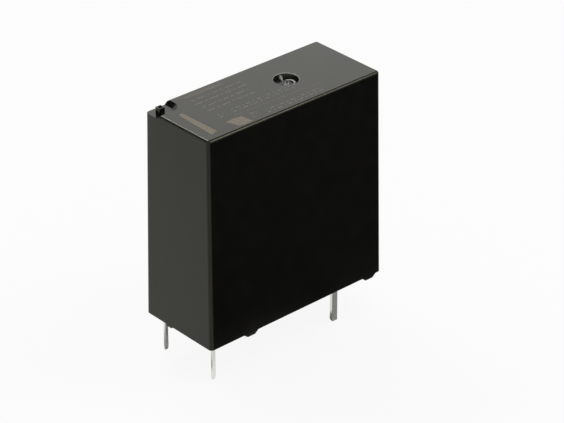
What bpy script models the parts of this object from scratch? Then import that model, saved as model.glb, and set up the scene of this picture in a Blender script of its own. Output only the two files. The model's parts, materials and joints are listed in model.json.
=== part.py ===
"""Slim sealed power relay for a circuit board, with one normally open contact.

The frame stands on the pin tips: the origin is at the middle of the footprint, +Z is up,
X runs along the case with the coil at -X, and -Y is the long side that faces the viewer.
Everything is modelled with the coil off, so the armature is open and the contacts are apart.
"""

from math import asin, cos, degrees, hypot, pi, radians, sin, tan

import bmesh
import bpy
from mathutils import Matrix, Vector

MM = 0.001

# Clearances
MOULD_GAP = 0.2 * MM  # between seated mouldings
METAL_GAP = 0.1 * MM  # round staked, riveted and pressed metal
WELD_DISTANCE = 0.0005 * MM
SHARP_ANGLE = radians(40)

# Facets round a full turn, and across a rounded edge
FINE_STEPS = 32
TURN_STEPS = 24
SMALL_STEPS = 16
EDGE_SEGMENTS = 4

# Cover
COVER_LENGTH = 24.0 * MM
COVER_WIDTH = 10.4 * MM
COVER_HEIGHT = 24.0 * MM
COVER_WALL = 0.8 * MM
COVER_DRAFT = 0.36 * MM  # each side leans in this far from rim to top
SIDE_RADIUS = 0.4 * MM
TOP_RADIUS = 0.28 * MM
CAVITY_RADIUS = 0.2 * MM

# Standoff feet on the cover's rim
STANDOFF = 0.4 * MM
FOOT_ROOT = 2.0 * MM
FOOT_TIP = 1.0 * MM
FOOT_NEAR_INSET = 5.5 * MM  # foot centre from the coil end
FOOT_FAR_INSET = 1.7 * MM  # foot centre from the contact end
FOOT_SINK = 0.02 * MM  # outer face of a foot behind the wall's face
END_BUMP_WIDTH = 0.8 * MM
END_BUMP_DROP = 0.22 * MM
END_BUMP_INSET = 3.6 * MM  # bump's middle from the back face

# Vent corner and gate well on the cover's top
NOTCH_LENGTH = 2.85 * MM  # the step's floor; its walls slope out from there
NOTCH_WIDTH = 2.2 * MM
NOTCH_DEPTH = 0.45 * MM
NOTCH_SLOPE = 0.45 * MM  # how far the walls run out on their way up
NOTCH_RADIUS = 0.8 * MM
NIB_SIDE = 0.72 * MM
NIB_HEIGHT = 0.7 * MM
NIB_END_INSET = 0.98 * MM  # nib to the cover's end face, at the rim
NIB_BACK_INSET = 1.13 * MM  # nib to the cover's back face, at the rim
NIB_RADIUS = 0.08 * MM
NIB_TOP_RADIUS = 0.04 * MM
NIB_SINK = 0.16 * MM  # nib's root below the step
NIB_BORE = 0.42 * MM
NIB_BORE_DEPTH = 0.5 * MM
GATE_ALONG = 15.15 * MM  # gate centre from the coil end
GATE_ACROSS = 0.22 * MM
GATE_RIM = 1.36 * MM
GATE_FLOOR = 1.2 * MM
GATE_DEPTH = 0.5 * MM
GATE_STUB_RADIUS = 0.35 * MM
GATE_STUB_HEIGHT = 0.28 * MM
GATE_BOSS_DROP = 0.4 * MM  # thickening under the gate
GATE_BOSS_RIM = 0.4 * MM  # boss past the well's rim

# Pins and sheet metal
PIN_LENGTH = 4.2 * MM  # below the board's face
PIN_TAPER = 0.35 * MM
COIL_SHEET = 0.4 * MM
COIL_PIN_WIDTH = 0.3 * MM
COIL_PIN_INSET = 1.4 * MM  # pin centre from the cover's end face
PIN_ROW_INSET = 1.38 * MM  # middle of a pin row from the cover's side face
PIN_CHAMFER = 0.15 * MM  # at the tip of a flat contact pin
COIL_PIN_CHAMFER = 0.075 * MM
CONTACT_SHEET = 0.35 * MM
CONTACT_PIN_WIDTH = 0.8 * MM
MOVING_PIN_INSET = 5.6 * MM  # pin centre from the contact end

# Floor of the relay
RESIN_RECESS = 0.3 * MM
RESIN_THICKNESS = 0.7 * MM
BASE_THICKNESS = 1.4 * MM
BARRIER_THICKNESS = 0.8 * MM
SOCKET_HEIGHT = 1.6 * MM
SOCKET_MARGIN = 0.7 * MM

# Magnet
YOKE_THICKNESS = 1.2 * MM
YOKE_SIDE_ROOM = 0.6 * MM
YOKE_BEND = 1.0 * MM
CORE_SHARE = 0.5  # core radius as a share of the winding radius
CORE_SHOULDER = 0.6 * MM  # core's step down to its stake
POLE_INSET = 0.7 * MM  # rim of the pole inside the winding's
POLE_THICKNESS = 0.9 * MM
POLE_CHAMFER = 0.15 * MM
BOBBIN_TUBE = 0.6 * MM
BOBBIN_FLANGE = 0.8 * MM
BOBBIN_OVERHANG = 0.2 * MM  # flange past the winding
COIL_SIDE_ROOM = 0.48 * MM  # winding to the cover's wall
COIL_RIDGES = 16
COIL_RIDGE_DEPTH = 0.06 * MM
PIN_TO_WINDING = 1.05 * MM  # middle of the coil pins to the winding
TERMINAL_BLOCK_HEIGHT = 2.4 * MM
TERMINAL_BLOCK_LENGTH = 1.1 * MM
TONGUE_DROP = 0.6 * MM  # height of the terminal's tongue in its block
TONGUE_REACH = 1.7 * MM
WIRE_POST_HEIGHT = 3.7 * MM

# Armature
ARMATURE_THICKNESS = 1.2 * MM
ARMATURE_SIDE_ROOM = 0.5 * MM
ARMATURE_OVERHANG = 0.3 * MM  # plate past the pole
ARMATURE_NOSE = 1.6 * MM
POLE_GAP = 0.5 * MM
ARM_DROP = 6.9 * MM  # from the hinge edge to the card's push line
ARM_TIP = 1.0 * MM
ARM_OFFSET = 0.45 * MM
TOP_ROOM = 0.5 * MM  # above the open armature
HINGE_LEAF = 0.15 * MM
HINGE_LEAF_WIDTH = 2.4 * MM
HINGE_LEAF_FOOT = 13.5 * MM
HINGE_TONGUE = 1.25 * MM
HINGE_WINDOW_ROOM = 0.15 * MM  # round the leaf where it passes the armature
STAKE_RADIUS = 0.45 * MM
STAKE_PITCH = 2.4 * MM

# Card
CARD_SIDE_ROOM = 0.7 * MM
CARD_CHEEK = 0.7 * MM
CARD_HEAD = 1.1 * MM  # card above its push line
CARD_LEDGE = 0.6 * MM
CARD_NOSE_WIDTH = 2.8 * MM
CARD_POCKET_START = 0.12  # shares of the card's reach from the arm to the spring
CARD_POCKET_END = 0.5
CARD_SHOULDER = 0.62
CARD_NOSE_START = 0.81
CARD_POCKET_DEPTH = 0.5 * MM
CARD_PEG_ROOT = 0.3 * MM  # peg sunk in the nose
CARD_PEG_RADIUS = 0.3 * MM
CARD_PEG = 0.5 * MM
CARD_SLOT_ROOM = 0.25 * MM

# Contacts
SPRING_SHEET = 0.15 * MM
SPRING_WIDTH = 3.2 * MM
SPRING_FOOT_WIDTH = 4.2 * MM
SPRING_TIP = 1.7 * MM  # spring above the contact's middle
SPRING_SHOULDER = 0.4 * MM  # half the height of its step from foot to blade
FLAG_HEIGHT = 3.2 * MM
CONTACT_ABOVE_CARD = 3.3 * MM
CONTACT_RADIUS = 1.3 * MM
CONTACT_HEAD = 0.6 * MM
CONTACT_CROWN = 0.15 * MM
CONTACT_CROWN_EDGE = 0.43 * MM  # width of the sloped rim round the head's flat
CONTACT_SHANK = 0.55 * MM
CONTACT_TAIL_RADIUS = 0.85 * MM
CONTACT_TAIL = 0.25 * MM
CONTACT_TAIL_EDGE = 0.17 * MM
CONTACT_REST_ROOM = 0.05 * MM  # left between the faces when the card is fully across

# Coil wire
WIRE_RADIUS = 0.06 * MM
WIRE_WRAPS = 3
WRAP_STEPS = 10  # points in each turn round the post
WRAP_PITCH = 0.21 * MM
LEAD_ANGLE = radians(160)  # where the wire leaves the winding
SOLDER_HEIGHT = 0.7 * MM
SOLDER_THICKNESS = 0.16 * MM
SOLDER_BULGE = 0.05 * MM
POST_GAP = 0.05 * MM  # wire and solder off the post's corners

# Levels, from the pin tips up
RIM_Z = PIN_LENGTH + STANDOFF
TOP_Z = RIM_Z + COVER_HEIGHT
CEILING_Z = TOP_Z - COVER_WALL
RESIN_Z = RIM_Z + RESIN_RECESS
RESIN_TOP_Z = RESIN_Z + RESIN_THICKNESS
BASE_Z = RESIN_TOP_Z + MOULD_GAP
BASE_TOP_Z = BASE_Z + BASE_THICKNESS
YOKE_Z = BASE_TOP_Z + METAL_GAP
YOKE_LEG_Z = YOKE_Z + YOKE_THICKNESS
BOBBIN_Z = YOKE_LEG_Z + METAL_GAP
FLAG_Z = BASE_TOP_Z + MOULD_GAP
FLAG_TOP_Z = FLAG_Z + FLAG_HEIGHT


def wall_room(size, z):
    """Half the room between the cover's leaning walls at a level."""
    return size / 2 - COVER_WALL - COVER_DRAFT * (z - RIM_Z) / (CEILING_Z - RIM_Z)


# Room inside the cover at its narrow top
ROOM_Y = wall_room(COVER_WIDTH, CEILING_Z)

# Sizes across the case
PIN_ROW_OFFSET = COVER_WIDTH / 2 - PIN_ROW_INSET
COIL_RADIUS = ROOM_Y - COIL_SIDE_ROOM
CORE_RADIUS = COIL_RADIUS * CORE_SHARE
CORE_STAKE_RADIUS = CORE_RADIUS - CORE_SHOULDER
POLE_RADIUS = COIL_RADIUS - POLE_INSET
FLANGE_HALF = COIL_RADIUS + BOBBIN_OVERHANG

# Places along the case
COIL_PIN_X = -COVER_LENGTH / 2 + COIL_PIN_INSET
COIL_X = COIL_PIN_X + PIN_TO_WINDING + COIL_RADIUS
YOKE_X = COIL_X + FLANGE_HALF + MOULD_GAP
HINGE_X = YOKE_X + YOKE_THICKNESS
ARM_X = HINGE_X + ARM_OFFSET
ARM_OUT_X = ARM_X + ARMATURE_THICKNESS

# Armature angle and top of the magnet
OPEN_ANGLE = asin(POLE_GAP / (HINGE_X - COIL_X))
PLATE_LENGTH = HINGE_X - COIL_X + POLE_RADIUS + ARMATURE_OVERHANG
PLATE_RISE = PLATE_LENGTH * sin(OPEN_ANGLE) + ARMATURE_THICKNESS
POLE_Z = CEILING_Z - TOP_ROOM - PLATE_RISE
BOBBIN_TOP_Z = POLE_Z - POLE_THICKNESS - METAL_GAP
CARD_Z = POLE_Z - ARM_DROP
CARD_FLOOR_Z = CARD_Z - ARM_TIP - MOULD_GAP
CARD_LOW_Z = CARD_FLOOR_Z - CARD_LEDGE

# Contact side, worked back from the moving contact's terminal
MOVING_PIN_X = COVER_LENGTH / 2 - MOVING_PIN_INSET
FLAG_X = MOVING_PIN_X - CONTACT_PIN_WIDTH / 2
SPRING_X = FLAG_X - METAL_GAP - SPRING_SHEET
SPRING_MID_X = SPRING_X + SPRING_SHEET / 2
CONTACT_Z = CARD_Z + CONTACT_ABOVE_CARD
SPRING_ANGLE = OPEN_ANGLE * ARM_DROP / (CARD_Z - FLAG_TOP_Z)
CONTACT_TRAVEL = SPRING_ANGLE * (CONTACT_Z - FLAG_TOP_Z)
MOVING_HEAD_X = SPRING_X + SPRING_SHEET + METAL_GAP
MOVING_FACE_X = MOVING_HEAD_X + CONTACT_HEAD
FIXED_FACE_X = MOVING_FACE_X + CONTACT_TRAVEL + CONTACT_REST_ROOM
FIXED_HEAD_X = FIXED_FACE_X + CONTACT_HEAD
FIXED_FLAG_X = FIXED_HEAD_X + METAL_GAP

# Finishes: colour, roughness, metallic
FINISHES = {
    "cover_black": ((0.022, 0.022, 0.021), 0.42, 0.0),
    "base_black": ((0.018, 0.018, 0.018), 0.5, 0.0),
    "resin_dark": ((0.03, 0.026, 0.022), 0.25, 0.0),
    "bobbin_nylon": ((0.62, 0.6, 0.52), 0.45, 0.0),
    "card_white": ((0.72, 0.7, 0.63), 0.4, 0.0),
    "enamel_copper": ((0.42, 0.12, 0.04), 0.3, 0.9),
    "magnet_steel": ((0.5, 0.49, 0.46), 0.35, 1.0),
    "spring_bronze": ((0.62, 0.4, 0.24), 0.3, 1.0),
    "contact_silver": ((0.8, 0.79, 0.76), 0.25, 1.0),
    "tinned_copper": ((0.63, 0.63, 0.62), 0.32, 1.0),
    "solder": ((0.58, 0.58, 0.57), 0.28, 1.0),
}


def clear_scene():
    for old in list(bpy.data.objects):
        bpy.data.objects.remove(old, do_unlink=True)


def new_collection(name):
    collection = bpy.data.collections.new(name)
    bpy.context.scene.collection.children.link(collection)
    return collection


clear_scene()
PARTS = new_collection("power_relay")
TOOLS = new_collection("cutters")


def new_object(name, mesh, matrix=None):
    """Puts a mesh in the parts collection."""
    made = bpy.data.objects.new(name, mesh)
    made.matrix_world = matrix or Matrix.Identity(4)
    PARTS.objects.link(made)
    return made


def from_bmesh(name, shape, matrix=None):
    mesh = bpy.data.meshes.new(name)
    shape.to_mesh(mesh)
    shape.free()
    return new_object(name, mesh, matrix)


def box(name, low, high):
    """A block between two corners."""
    low, high = Vector(low), Vector(high)
    shape = bmesh.new()
    bmesh.ops.create_cube(shape, size=1.0)
    bmesh.ops.scale(shape, vec=high - low, verts=shape.verts)
    bmesh.ops.translate(shape, vec=(low + high) / 2, verts=shape.verts)
    return from_bmesh(name, shape)


def tapered_box(name, half, low, high, draft, side_radius, top_radius):
    """A block that narrows by the draft on each side, with round uprights and a round top edge."""
    shape = bmesh.new()
    bmesh.ops.create_cube(shape, size=2.0)
    weight = shape.edges.layers.float.new("bevel_weight_edge")
    for vert in shape.verts:
        lean = draft if vert.co.z > 0 else 0.0
        vert.co.x *= half[0] - lean
        vert.co.y *= half[1] - lean
        vert.co.z = high if vert.co.z > 0 else low
    middle = (low + high) / 2
    for edge in shape.edges:
        levels = [vert.co.z > middle for vert in edge.verts]
        if all(levels):
            edge[weight] = top_radius / side_radius
        elif any(levels):
            edge[weight] = 1.0
    made = from_bmesh(name, shape)
    rounding = made.modifiers.new("round edges", "BEVEL")
    rounding.limit_method = "WEIGHT"
    rounding.width = side_radius
    rounding.segments = EDGE_SEGMENTS
    return made


AXIS_TURNS = {
    "Z": Matrix.Identity(4),
    "Y": Matrix.Rotation(pi / 2, 4, "X"),
    "X": Matrix(((0, 0, 1, 0), (1, 0, 0, 0), (0, 1, 0, 0), (0, 0, 0, 1))),
}


def as_mesh(name, curve_object):
    """Turns a curve object into a welded mesh object."""
    bpy.context.view_layer.update()
    graph = bpy.context.evaluated_depsgraph_get()
    mesh = bpy.data.meshes.new_from_object(curve_object.evaluated_get(graph))
    shape = bmesh.new()
    shape.from_mesh(mesh)
    bmesh.ops.remove_doubles(shape, verts=shape.verts, dist=WELD_DISTANCE)
    bmesh.ops.dissolve_limit(shape, angle_limit=radians(0.1), verts=shape.verts, edges=shape.edges)
    bmesh.ops.recalc_face_normals(shape, faces=shape.faces)
    matrix = curve_object.matrix_world.copy()
    bpy.data.objects.remove(curve_object, do_unlink=True)
    bpy.data.meshes.remove(mesh)
    made = from_bmesh(name, shape, matrix)
    made.data.shade_smooth()
    made.data.set_sharp_from_angle(angle=SHARP_ANGLE)
    return made


def prism(name, outlines, low, high, axis):
    """Extrudes a flat outline from low to high along an axis. Outlines after the first are holes.

    An outline is in (x, y) for Z, in (x, z) for Y and in (y, z) for X.
    """
    curve = bpy.data.curves.new(name, "CURVE")
    curve.dimensions = "2D"
    curve.fill_mode = "BOTH"
    curve.extrude = (high - low) / 2
    for outline in outlines:
        spline = curve.splines.new("POLY")
        spline.points.add(len(outline) - 1)
        for point, (u, v) in zip(spline.points, outline):
            point.co = (u, v, 0.0, 1.0)
        spline.use_cyclic_u = True
    middle = (low + high) / 2
    shift = Matrix.Translation((0, 0, -middle if axis == "Y" else middle))
    holder = new_object(name, curve, AXIS_TURNS[axis] @ shift)
    return as_mesh(name, holder)


def turned(name, profile, centre, axis="Z", steps=TURN_STEPS):
    """Turns a profile of (radius, height) about an axis. The profile runs down its outer side."""
    mesh = bpy.data.meshes.new(name)
    points = [(radius, 0.0, height) for radius, height in profile]
    ring = profile[0][0] > 0 and profile[-1][0] > 0
    edges = [(i, i + 1) for i in range(len(points) - 1)]
    if ring:
        edges.append((len(points) - 1, 0))
    mesh.from_pydata(points, edges, [])
    made = new_object(name, mesh, Matrix.Translation(centre) @ AXIS_TURNS[axis])
    screw = made.modifiers.new("turn", "SCREW")
    screw.axis = "Z"
    screw.steps = screw.render_steps = steps
    screw.use_merge_vertices = True
    screw.merge_threshold = WELD_DISTANCE
    return made


def wire(name, points, radius):
    """A round wire through points."""
    curve = bpy.data.curves.new(name, "CURVE")
    curve.dimensions = "3D"
    curve.bevel_depth = radius
    curve.bevel_resolution = 2
    curve.use_fill_caps = True
    spline = curve.splines.new("POLY")
    spline.points.add(len(points) - 1)
    for point, place in zip(spline.points, points):
        point.co = (*place, 1.0)
    return as_mesh(name, new_object(name, curve))


def as_tool(tool):
    """Marks an object as a guide for a Boolean and moves it to the cutters' collection."""
    for collection in list(tool.users_collection):
        collection.objects.unlink(tool)
    TOOLS.objects.link(tool)
    tool.hide_render = True
    tool.display_type = "WIRE"
    return tool


def combine(target, tool, operation):
    step = target.modifiers.new(f"{operation.lower()} {tool.name}", "BOOLEAN")
    step.operation = operation
    step.solver = "EXACT"
    step.object = as_tool(tool)
    return target


def cut(target, tool):
    return combine(target, tool, "DIFFERENCE")


def join(target, tool):
    return combine(target, tool, "UNION")


def round_edges(target, width, segments=2):
    rounding = target.modifiers.new("round edges", "BEVEL")
    rounding.limit_method = "ANGLE"
    rounding.angle_limit = SHARP_ANGLE
    rounding.width = width
    rounding.segments = segments
    return target


def finish(target, slot):
    """Gives an object its own material with the finish of a slot."""
    colour, roughness, metallic = FINISHES[slot]
    material = bpy.data.materials.new(f"{target.name}_{slot}")
    material.use_nodes = True
    shader = material.node_tree.nodes["Principled BSDF"]
    shader.inputs["Base Color"].default_value = (*colour, 1.0)
    shader.inputs["Roughness"].default_value = roughness
    shader.inputs["Metallic"].default_value = metallic
    target.data.materials.clear()
    target.data.materials.append(material)
    return target


def hang_on(joint_name, place, pieces):
    """Parents pieces to an empty that stands on their joint."""
    joint = bpy.data.objects.new(joint_name, None)
    joint.location = place
    PARTS.objects.link(joint)
    bpy.context.view_layer.update()
    for piece in pieces:
        piece.parent = joint
        piece.matrix_parent_inverse = joint.matrix_world.inverted()


def rectangle(low_u, high_u, low_v, high_v):
    return [(low_u, low_v), (high_u, low_v), (high_u, high_v), (low_u, high_v)]


def arc(centre, radius, start, end, steps):
    """Points along an arc, with its angles in degrees."""
    angles = [radians(start + (end - start) * i / steps) for i in range(steps + 1)]
    return [(centre[0] + radius * cos(a), centre[1] + radius * sin(a)) for a in angles]


def make_foot(name, centre_x, side):
    """A trapezoid standoff under a long wall, a hair behind its outer face."""
    root, tip = FOOT_ROOT / 2, FOOT_TIP / 2
    up = RIM_Z + STANDOFF
    outline = [
        (centre_x - tip, PIN_LENGTH),
        (centre_x + tip, PIN_LENGTH),
        (centre_x + root, RIM_Z),
        (centre_x + root, up),
        (centre_x - root, up),
        (centre_x - root, RIM_Z),
    ]
    outer = side * (COVER_WIDTH / 2 - FOOT_SINK)
    inner = side * (COVER_WIDTH / 2 - COVER_WALL + FOOT_SINK)
    return prism(name, [outline], min(outer, inner), max(outer, inner), "Y")


def notch_outline(spread):
    """The vent corner seen from above, open past the end face and the back face."""
    beyond = COVER_WALL
    left, back = -COVER_LENGTH / 2, COVER_WIDTH / 2
    right, front = left + NOTCH_LENGTH + spread, back - NOTCH_WIDTH - spread
    radius = NOTCH_RADIUS + spread
    corner = arc((right - radius, front + radius), radius, -90, 0, 6)
    return [(left - beyond, front), *corner, (right, back + beyond), (left - beyond, back + beyond)]


def splayed(name, lower, upper, low, high):
    """A solid between two outlines with as many points, at two levels."""
    shape = bmesh.new()
    bottom = [shape.verts.new((x, y, low)) for x, y in lower]
    top = [shape.verts.new((x, y, high)) for x, y in upper]
    shape.faces.new(bottom[::-1])
    shape.faces.new(top)
    for i, vert in enumerate(bottom):
        shape.faces.new((bottom[i - 1], vert, top[i], top[i - 1]))
    return from_bmesh(name, shape)


def add_vent(cover):
    """The stepped corner with its hollow square nib."""
    floor = TOP_Z - NOTCH_DEPTH
    top = floor + NIB_HEIGHT
    spread = NOTCH_SLOPE * NIB_HEIGHT / NOTCH_DEPTH
    cut(cover, splayed("vent_step", notch_outline(0.0), notch_outline(spread), floor, top))
    x, y = -COVER_LENGTH / 2 + NIB_END_INSET, COVER_WIDTH / 2 - NIB_BACK_INSET - NIB_SIDE
    half = (NIB_SIDE / 2, NIB_SIDE / 2)
    nib = tapered_box("vent_nib", half, floor - NIB_SINK, top, 0.0, NIB_RADIUS, NIB_TOP_RADIUS)
    nib.location = (x + NIB_SIDE / 2, y + NIB_SIDE / 2, 0)
    join(cover, nib)
    rim = (NIB_SIDE - NIB_BORE) / 2
    low = (x + rim, y + rim, top - NIB_BORE_DEPTH)
    high = (x + NIB_SIDE - rim, y + NIB_SIDE - rim, top + NIB_BORE)
    cut(cover, box("vent_bore", low, high))


def add_gate(cover):
    """The round well where the plastic was fed in, with its broken stub and the boss below."""
    centre = (-COVER_LENGTH / 2 + GATE_ALONG, GATE_ACROSS, TOP_Z)
    boss_radius = GATE_RIM + GATE_BOSS_RIM
    boss_top = -COVER_WALL / 2
    boss_end = -COVER_WALL - GATE_BOSS_DROP
    boss = [(0, boss_top), (boss_radius, boss_top), (boss_radius, boss_end), (0, boss_end)]
    join(cover, turned("gate_boss", boss, centre, steps=FINE_STEPS))
    rise = GATE_DEPTH / 4
    slope = (GATE_RIM - GATE_FLOOR) / GATE_DEPTH
    well = [(0, rise), (GATE_RIM + rise * slope, rise), (GATE_FLOOR, -GATE_DEPTH), (0, -GATE_DEPTH)]
    cut(cover, turned("gate_well", well, centre, steps=FINE_STEPS))
    stub_top = GATE_STUB_HEIGHT - GATE_DEPTH
    stub_base = -GATE_DEPTH - GATE_STUB_HEIGHT
    stub = [(0, stub_top), (GATE_STUB_RADIUS / 2, stub_top), (GATE_STUB_RADIUS, stub_base), (0, stub_base)]
    join(cover, turned("gate_stub", stub, centre, steps=SMALL_STEPS))


def make_cover():
    """The deep box that closes the relay, with its feet, vent corner and gate well."""
    half = (COVER_LENGTH / 2, COVER_WIDTH / 2)
    cover = tapered_box("cover", half, RIM_Z, TOP_Z, COVER_DRAFT, SIDE_RADIUS, TOP_RADIUS)
    inside = [size - COVER_WALL for size in half]
    cavity = tapered_box(
        "cover_cavity", inside, RIM_Z, CEILING_Z, COVER_DRAFT, CAVITY_RADIUS, CAVITY_RADIUS
    )
    mouth = rectangle(-inside[0], inside[0], -inside[1], inside[1])
    cut(cover, cavity)
    cut(cover, prism("cover_mouth", [mouth], RIM_Z - STANDOFF, RIM_Z + CAVITY_RADIUS, "Z"))
    near_x = -COVER_LENGTH / 2 + FOOT_NEAR_INSET
    far_x = COVER_LENGTH / 2 - FOOT_FAR_INSET
    for place, x in (("near", near_x), ("far", far_x)):
        for row, side in (("front", -1), ("back", 1)):
            join(cover, make_foot(f"foot_{place}_{row}", x, side))
    bump_x = -COVER_LENGTH / 2 + FOOT_SINK
    bump_y = COVER_WIDTH / 2 - END_BUMP_INSET
    low = (bump_x, bump_y - END_BUMP_WIDTH / 2, RIM_Z - END_BUMP_DROP)
    high = (bump_x + COVER_WALL - 2 * FOOT_SINK, bump_y + END_BUMP_WIDTH / 2, RIM_Z + END_BUMP_DROP)
    join(cover, box("end_bump", low, high))
    add_vent(cover)
    add_gate(cover)
    return finish(cover, "cover_black")


def coil_terminal_outline(side, room=0.0):
    """A coil terminal in (y, z): pin, inward tongue and wire post. Room widens it for its slot."""
    outer = PIN_ROW_OFFSET + COIL_PIN_WIDTH / 2 + room
    inner = PIN_ROW_OFFSET - COIL_PIN_WIDTH / 2 - room
    tongue_low = BOBBIN_Z + BOBBIN_FLANGE - room
    tongue_high = BOBBIN_Z + BOBBIN_FLANGE + TONGUE_DROP + room
    post_in = PIN_ROW_OFFSET - TONGUE_REACH - room
    post_out = post_in + COIL_PIN_WIDTH + 2 * room
    post_top = BOBBIN_Z + BOBBIN_FLANGE + WIRE_POST_HEIGHT
    points = [
        (inner + COIL_PIN_CHAMFER, 0.0),
        (outer - COIL_PIN_CHAMFER, 0.0),
        (outer, PIN_TAPER),
        (outer, tongue_high),
        (post_out, tongue_high),
        (post_out, post_top),
        (post_in, post_top),
        (post_in, tongue_low),
        (inner, tongue_low),
        (inner, PIN_TAPER),
    ]
    return [(side * y, z) for y, z in points]


def make_coil_terminal(row, side):
    low = COIL_PIN_X - COIL_SHEET / 2
    name = f"coil_terminal_{row}"
    terminal = prism(name, [coil_terminal_outline(side)], low, low + COIL_SHEET, "X")
    return finish(terminal, "tinned_copper")


def cut_coil_terminal_slots(target, top):
    """Slots for both coil terminals, open to the end of the piece and to its sides."""
    for row, side in (("front", -1), ("back", 1)):
        high = COIL_PIN_X + COIL_SHEET / 2 + METAL_GAP
        slot = prism(
            f"{target.name}_slot_{row}",
            [coil_terminal_outline(side, METAL_GAP)],
            -COVER_LENGTH / 2,
            high,
            "X",
        )
        cut(target, slot)
        inner = PIN_ROW_OFFSET - COIL_PIN_WIDTH / 2 - METAL_GAP
        sides = sorted((side * inner, side * COVER_WIDTH / 2))
        edge = box(
            f"{target.name}_edge_{row}", (-COVER_LENGTH / 2, sides[0], 0), (high, sides[1], top)
        )
        cut(target, edge)


def moving_terminal_pin():
    """The moving terminal's flat leg in (x, z), from its pin tip to the flag's top."""
    half = CONTACT_PIN_WIDTH / 2
    return [
        (MOVING_PIN_X - half + PIN_CHAMFER, 0.0),
        (MOVING_PIN_X + half, 0.0),
        (MOVING_PIN_X + half, FLAG_TOP_Z),
        (MOVING_PIN_X - half, FLAG_TOP_Z),
        (MOVING_PIN_X - half, PIN_TAPER),
    ]


def make_moving_terminal():
    """The common terminal: a flat leg by the front wall, folded across to carry the spring."""
    face = PIN_ROW_OFFSET - CONTACT_SHEET / 2
    leg = prism("moving_terminal", [moving_terminal_pin()], -face - CONTACT_SHEET, -face, "Y")
    low = (FLAG_X, -face - CONTACT_SHEET / 2, FLAG_Z)
    high = (FLAG_X + CONTACT_SHEET, SPRING_FOOT_WIDTH / 2, FLAG_TOP_Z)
    join(leg, box("moving_flag", low, high))
    stake_out = METAL_GAP * 2 + SPRING_SHEET * 2
    for i, sign in enumerate((-1, 1)):
        centre = (FLAG_X, sign * STAKE_PITCH / 2, (FLAG_Z + FLAG_TOP_Z) / 2)
        stake = [
            (0, CONTACT_SHEET / 2),
            (STAKE_RADIUS, CONTACT_SHEET / 2),
            (STAKE_RADIUS, -stake_out),
            (0, -stake_out),
        ]
        join(leg, turned(f"moving_stake_{i}", stake, centre, "X", SMALL_STEPS))
    return finish(leg, "tinned_copper")


def spring_outline():
    """The moving spring in (y, z): a wide foot and a narrower blade with a round end."""
    foot, blade = SPRING_FOOT_WIDTH / 2, SPRING_WIDTH / 2
    shoulder = FLAG_TOP_Z
    top = CONTACT_Z + SPRING_TIP
    crown = arc((0, top - blade / 2), blade / 2, 90, 0, 4)
    right = [(y + blade / 2, z) for y, z in crown]
    return [
        (foot, FLAG_Z),
        (foot, shoulder - SPRING_SHOULDER),
        (blade, shoulder + SPRING_SHOULDER),
        *reversed(right),
        *[(-y, z) for y, z in right],
        (-blade, shoulder + SPRING_SHOULDER),
        (-foot, shoulder - SPRING_SHOULDER),
        (-foot, FLAG_Z),
    ]


def circle(centre, radius, steps=SMALL_STEPS):
    return arc(centre, radius, 0, 360 * (steps - 1) / steps, steps - 1)


def make_contact_spring():
    """The thin leaf that carries the moving contact."""
    stake_z = (FLAG_Z + FLAG_TOP_Z) / 2
    holes = [circle((sign * STAKE_PITCH / 2, stake_z), STAKE_RADIUS + METAL_GAP) for sign in (-1, 1)]
    holes.append(circle((0, CARD_Z), CARD_PEG_RADIUS + CARD_SLOT_ROOM))
    holes.append(circle((0, CONTACT_Z), CONTACT_SHANK + METAL_GAP))
    spring = prism(
        "contact_spring", [spring_outline(), *holes], SPRING_X, SPRING_X + SPRING_SHEET, "X"
    )
    return finish(spring, "spring_bronze")


def rivet_profile(grip):
    """A contact rivet along its axis: crowned head, shank through the grip, and tail."""
    return [
        (0, CONTACT_HEAD),
        (CONTACT_RADIUS - CONTACT_CROWN_EDGE, CONTACT_HEAD),
        (CONTACT_RADIUS, CONTACT_HEAD - CONTACT_CROWN),
        (CONTACT_RADIUS, 0),
        (CONTACT_SHANK, 0),
        (CONTACT_SHANK, -grip),
        (CONTACT_TAIL_RADIUS, -grip),
        (CONTACT_TAIL_RADIUS - CONTACT_TAIL_EDGE, -grip - CONTACT_TAIL),
        (0, -grip - CONTACT_TAIL),
    ]


def make_moving_contact():
    profile = rivet_profile(SPRING_SHEET + 2 * METAL_GAP)
    rivet = turned("moving_contact", profile, (MOVING_HEAD_X, 0, CONTACT_Z), "X")
    return finish(rivet, "contact_silver")


def make_fixed_contact():
    profile = rivet_profile(CONTACT_SHEET + 2 * METAL_GAP)
    rivet = turned("fixed_contact", profile, (0, 0, 0), "X")
    turn = Matrix.Rotation(pi, 4, "Z") @ AXIS_TURNS["X"]
    rivet.matrix_world = Matrix.Translation((FIXED_HEAD_X, 0, CONTACT_Z)) @ turn
    return finish(rivet, "contact_silver")


def fixed_flag_outline():
    """The fixed terminal's upright in (y, z), wide at its foot and narrower at the contact."""
    blade = SPRING_WIDTH / 2
    edge = PIN_ROW_OFFSET
    top = CONTACT_Z + SPRING_TIP
    shoulder = (FLAG_TOP_Z + CONTACT_Z) / 2
    return [
        (-blade, FLAG_Z),
        (edge, FLAG_Z),
        (edge, FLAG_TOP_Z),
        (blade, shoulder),
        (blade, top - blade / 2),
        (blade / 2, top),
        (-blade / 2, top),
        (-blade, top - blade / 2),
    ]


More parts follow.
